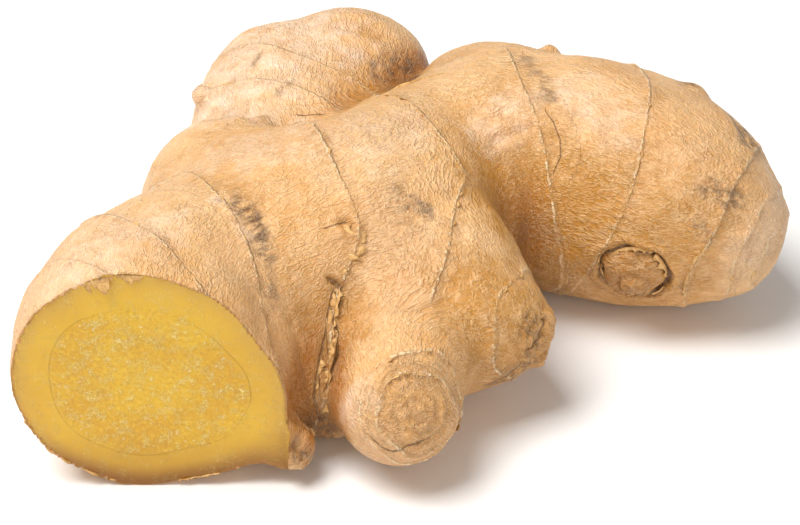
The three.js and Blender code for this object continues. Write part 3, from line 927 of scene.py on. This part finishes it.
def skin_material():
    """Papery tan skin: wrinkles, pale ring lines with brown edges, stains, and painted light and shade:
    highlights on wrinkle crests and lit tops, shade in hollows, on low sides, by ring steps and under the
    bud.
    """
    material, tree, shader = new_material("ginger_skin")
    grain = attribute(tree, "grain", 1)
    place = place_in_mm(tree)
    ring = parts_of(tree, "ring")
    stains = parts_of(tree, "stains")
    areas = parts_of(tree, "areas")
    crack = parts_of(tree, "crack")

    broad = noise_in(tree, place, 0.07, 3.0)
    mottle = noise_in(tree, place, 0.33, 4.0)
    patchy = noise_in(tree, place, 0.13, 2.0)
    fine_worms = worms(tree, grain, 1.35, 0.5)
    small_worms = worms(tree, grain, 2.7, 0.8, 0.2)
    fine_grain = noise_in(tree, grain, 3.4, 3.0, 0.4)
    crumple = worms(tree, place, 0.75, 1.0)
    streaks = noise_in(tree, grain, 0.8, 4.0)
    lively = ranged(tree, noise_in(tree, place, 0.18, 3.0), 0.36, 0.62, 0.6, 1.05)

    turn = math_of(tree, "ARCTAN2", ring[1], ring[0])
    jitter = times(tree, math_of(tree, "SUBTRACT", noise_in(tree, place, 1.3), 0.5), 0.9)
    gap = sum_of(tree, times(tree, turn, RING_REACH / math.pi), jitter)
    away = math_of(tree, "ABSOLUTE", gap)
    dotted = ranged(tree, noise_in(tree, place, 1.0, 2.0), 0.4, 0.54)
    fade = ranged(tree, patchy, 0.35, 0.6, 0.35, 1.0)
    line = times(tree, ranged(tree, away, 0.06, 0.26, 1.0, 0.0), dotted, fade, ring[2])
    edge = times(tree, ranged(tree, away_from(tree, gap, 0.42), 0.04, 0.3, 1.0, 0.0), fade, ring[2])
    frill = times(tree, ranged(tree, away, 0.2, 2.6, 1.0, 0.0), ranged(tree, mottle, 0.48, 0.62), ring[2])
    from_crack = math_of(tree, "ABSOLUTE", sum_of(tree, crack[0], times(tree, jitter, 0.4)))
    split = times(tree, ranged(tree, from_crack, 0.12, 0.45, 1.0, 0.0), crack[1])

    tone = mixed(tree, ranged(tree, broad, 0.35, 0.65), SKIN_TAN, SKIN_BROWN)
    tone = mixed(tree, times(tree, ranged(tree, mottle, 0.45, 0.7), 0.35), tone, SKIN_LIGHT)
    tone = mixed(tree, times(tree, areas[1], 0.6), tone, SKIN_PINK)
    # Golden skin, partly painted shade on the low and shaded sides.
    tone = mixed(tree, times(tree, areas[0], 0.92), tone, SKIN_GOLD_AND_SHADE)
    # Painted shade: the hollows turn a deep gold.
    tone = mixed(tree, ranged(tree, areas[2], 0.05, 0.7, 0.0, 0.95), tone, PAINTED_VALLEY_SHADE)
    ochre = times(tree, stains[1], ranged(tree, streaks, 0.35, 0.6, 0.55, 1.0))
    tone = mixed(tree, ochre, tone, OCHRE)
    # Pale cream patches, partly painted light on the lit tops.
    pale_and_light = times(tree, stains[2], ranged(tree, mottle, 0.35, 0.65, 0.4, 0.9))
    tone = mixed(tree, pale_and_light, tone, PALE_CREAM_AND_LIGHT)
    tone = mixed(tree, times(tree, frill, 0.75), tone, RING_SCALE)
    # Brown edge beside each ring line, partly painted shade at the foot of the ring's step.
    tone = mixed(tree, times(tree, edge, 0.45), tone, RING_EDGE_AND_SHADE)
    tone = mixed(tree, times(tree, line, 0.8), tone, RING_LINE)
    # Dark brown stains; one wide stroke low by the stub is painted shadow.
    dark_and_shadow = times(tree, stains[0], ranged(tree, streaks, 0.34, 0.6))
    tone = mixed(tree, dark_and_shadow, tone, DARK_BROWN_AND_SHADOW)
    in_bud = ranged(tree, crack[2], -1.6, -0.6, 0.75, 0.0)
    tone = mixed(tree, in_bud, tone, BUD_BROWN)
    # The groove's own brown and painted shadow round the bud scar, widest below it.
    bud_groove_and_shadow = ranged(tree, math_of(tree, "ABSOLUTE", crack[2]), 0.25, 1.0, 0.85, 0.0)
    tone = mixed(tree, bud_groove_and_shadow, tone, BUD_GROOVE_AND_SHADOW)
    tone = mixed(tree, times(tree, split, 0.8), tone, CRACK_BROWN)
    # Painted highlights along the wrinkle crests.
    tone = mixed(tree, times(tree, fine_worms, lively, 0.2), tone, WRINKLE_HIGHLIGHT)
    speck = times(tree, ranged(tree, noise_in(tree, grain, 2.2, 2.0), 0.66, 0.74), 0.4)
    tone = mixed(tree, speck, tone, SKIN_SPECK)
    tree.links.new(tone, shader.inputs["Base Color"])

    wrinkles = sum_of(tree, fine_worms, times(tree, fine_grain, 0.8), times(tree, small_worms, 0.6),
                      times(tree, crumple, 0.4))
    height = sum_of(tree, times(tree, wrinkles, lively), times(tree, line, 1.8), times(tree, edge, -1.2),
                    times(tree, split, -2.5))
    tree.links.new(bumped(tree, height, 0.8, 0.00021), shader.inputs["Normal"])
    tree.links.new(ranged(tree, mottle, 0.3, 0.7, 0.34, 0.52), shader.inputs["Roughness"])
    shader.inputs["Specular IOR Level"].default_value = 0.6
    shader.inputs["Subsurface Weight"].default_value = 0.12
    shader.inputs["Subsurface Radius"].default_value = (1.0, 0.45, 0.12)
    shader.inputs["Subsurface Scale"].default_value = 0.0015
    return material


def flesh_material():
    """Moist yellow flesh with pale fibre ends, a thin ring line, a smoother paler rind and painted shade
    towards the table.
    """
    material, tree, shader = new_material("ginger_flesh")
    rim = attribute(tree, "rim", 2)
    place = place_in_mm(tree)
    height_in_mm = add_node(tree, "ShaderNodeSeparateXYZ", {0: place}).outputs[2]
    cloud = noise_in(tree, place, 0.12, 3.0)
    grit = noise_in(tree, place, 1.6, 3.0, 0.5, 0.65)
    fibre = math_of(tree, "MAXIMUM", worms(tree, place, 0.9, 1.4, 0.035), worms(tree, place, 1.6, 1.0, 0.05))
    where = ranged(tree, noise_in(tree, place, 0.8, 3.0), 0.5, 0.58)
    core = ranged(tree, rim, 4.4, 6.0)
    flecks = times(tree, fibre, where, ranged(tree, core, 0.0, 1.0, 0.3, 1.0))
    glints = times(tree, ranged(tree, noise_in(tree, place, 1.9, 1.0), 0.7, 0.76), core)
    wobble = times(tree, math_of(tree, "SUBTRACT", noise_in(tree, place, 0.12, 0.0), 0.5), 1.6)
    line = ranged(tree, away_from(tree, sum_of(tree, rim, wobble), 5.2), 0.03, 0.14, 1.0, 0.0)
    line = times(tree, line, ranged(tree, cloud, 0.35, 0.6, 0.4, 1.0))
    rind = ranged(tree, rim, 0.3, 3.6, 1.0, 0.0)
    skin_edge = ranged(tree, sum_of(tree, rim, times(tree, grit, 0.5)), 0.2, 0.75, 1.0, 0.0)
    # Painted shade: the flesh and its rind darken towards the table.
    low = ranged(tree, height_in_mm, 1.0, 12.0, 1.0, 0.0)

    tone = mixed(tree, ranged(tree, cloud, 0.35, 0.65), FLESH_YELLOW, FLESH_OCHRE)
    tone = mixed(tree, ranged(tree, core, 0.0, 1.0, 0.5, 0.0), tone, FLESH_OUTER)
    tone = mixed(tree, times(tree, rind, 0.6), tone, RIND)
    tone = mixed(tree, times(tree, low, 0.7), tone, FLESH_SHADE)
    tone = mixed(tree, times(tree, rind, low), tone, RIND_SHADE)
    tone = mixed(tree, times(tree, ranged(tree, grit, 0.5, 0.7), core, 0.6), tone, FLESH_BRIGHT)
    tone = mixed(tree, times(tree, ranged(tree, grit, 0.5, 0.3), core, 0.5), tone, FLESH_DEEP)
    tone = mixed(tree, times(tree, flecks, 0.75), tone, FIBRE_END)
    tone = mixed(tree, times(tree, glints, 0.6), tone, MOIST_GLINT)
    tone = mixed(tree, times(tree, line, 0.5), tone, FLESH_LINE)
    tone = mixed(tree, times(tree, skin_edge, 0.85), tone, RIND_EDGE)
    tree.links.new(tone, shader.inputs["Base Color"])
    height = sum_of(tree, times(tree, flecks, 0.9), times(tree, grit, core, 1.6), times(tree, glints, 0.7),
                    times(tree, line, -0.5))
    tree.links.new(bumped(tree, height, 0.7, 0.00022), shader.inputs["Normal"])
    tree.links.new(ranged(tree, grit, 0.3, 0.7, 0.28, 0.5), shader.inputs["Roughness"])
    shader.inputs["Subsurface Weight"].default_value = 0.25
    shader.inputs["Subsurface Radius"].default_value = (1.0, 0.6, 0.1)
    shader.inputs["Subsurface Scale"].default_value = 0.002
    return material


def peel_material():
    """Dry papery peel: pale tan with brown streaks and spots."""
    material, tree, shader = new_material("dry_peel")
    place = place_in_mm(tree)
    streak = noise_in(tree, place, 0.9, 4.0, 0.5)
    spots = noise_in(tree, place, 2.5, 3.0)
    tone = mixed(tree, ranged(tree, streak, 0.35, 0.65), PEEL_TAN, PEEL_BROWN)
    tone = mixed(tree, times(tree, ranged(tree, spots, 0.55, 0.7), 0.6), tone, PEEL_SPOT)
    tree.links.new(tone, shader.inputs["Base Color"])
    tree.links.new(bumped(tree, spots, 0.6, 0.0002), shader.inputs["Normal"])
    shader.inputs["Roughness"].default_value = 0.5
    return material


def make_floor():
    mesh = bpy.data.meshes.new("table_top")
    corners = [(TABLE_HALF * x, TABLE_HALF * y, 0) for x, y in ((-1, -1), (1, -1), (1, 1), (-1, 1))]
    mesh.from_pydata(corners, [], [(0, 1, 2, 3)])
    table = bpy.data.objects.new("table_top", mesh)
    bpy.context.scene.collection.objects.link(table)
    material, _, shader = new_material("table_white")
    shader.inputs["Base Color"].default_value = TABLE_WHITE
    shader.inputs["Roughness"].default_value = 0.6
    mesh.materials.append(material)


def make_light(name, place, size, power, tint):
    """A square soft light in metres that faces the root."""
    data = bpy.data.lights.new(name, "AREA")
    data.size = size
    data.energy = power
    data.color = tint
    light = bpy.data.objects.new(name, data)
    light.location = place
    facing = Vector(LIGHT_TARGET) - Vector(place)
    light.rotation_euler = facing.to_track_quat("-Z", "Y").to_euler()
    bpy.context.scene.collection.objects.link(light)


def make_world():
    world = bpy.data.worlds.new("soft_room")
    world.use_nodes = True
    background = world.node_tree.nodes["Background"]
    background.inputs[0].default_value = ROOM_WHITE
    background.inputs[1].default_value = ROOM_STRENGTH
    bpy.context.scene.world = world


def make_camera():
    """The photo's viewpoint: straight in front of the root, looking down on it."""
    look = Vector((0, math.cos(CAMERA_ELEVATION), -math.sin(CAMERA_ELEVATION)))
    data = bpy.data.cameras.new("camera")
    data.lens = CAMERA_LENS
    data.sensor_width = 36
    data.clip_start = 0.01
    data.clip_end = 20
    camera = bpy.data.objects.new("camera", data)
    camera.location = Vector(CAMERA_TARGET) - look * CAMERA_DISTANCE
    camera.rotation_euler = look.to_track_quat("-Z", "Y").to_euler()
    bpy.context.scene.collection.objects.link(camera)
    bpy.context.scene.camera = camera


bpy.context.scene.view_settings.view_transform = "Standard"
make_camera()
make_floor()
make_world()
make_light("key", (-0.35, -0.12, 0.8), 0.55, 9.9, (1.0, 0.99, 0.97))
make_light("fill", (0.35, -0.7, 0.22), 0.8, 2.2, (1.0, 0.96, 0.9))

root_piece = make_root()
root_piece.data.materials.append(skin_material())
root_piece.data.materials.append(flesh_material())
frill_piece = make_frills()
frill_piece.data.materials.append(peel_material())
for piece in (root_piece, frill_piece):
    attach(piece, "root")
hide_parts("ginger_root")
